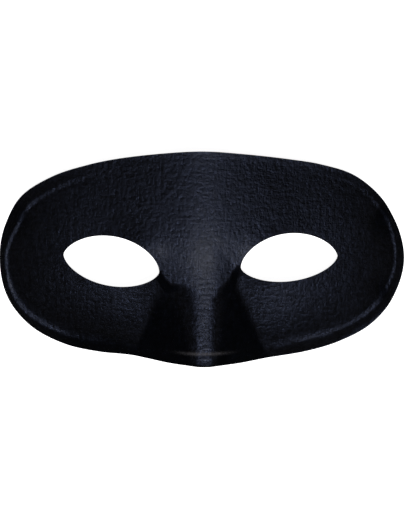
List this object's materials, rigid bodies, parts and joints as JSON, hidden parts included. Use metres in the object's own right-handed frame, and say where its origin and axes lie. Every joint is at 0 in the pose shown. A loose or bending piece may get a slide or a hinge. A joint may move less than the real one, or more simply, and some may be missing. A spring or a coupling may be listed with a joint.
{
  "type": "masquerade eye mask",
  "caption": "Black moulded cloth half mask with almond eye holes, a formed nose and a pressed rim bead, worn over the eyes or laid face up on its side edges.",
  "frame": {"origin": "centre of the footprint, on the surface that the mask lies on", "axes": "+X across the face to the right as seen from the front, +Y from the nose to the brow, +Z out of the front of the mask"},
  "size_m": [0.17, 0.0872, 0.0508],
  "materials": {
    "black_cloth": "fine woven black cloth with a bluish sheen, laminated on a stiffener and pressed to shape, plainer dark backing"
  },
  "bodies": {
    "root": {"mask_shell": "black_cloth"}
  },
  "joints": []
}
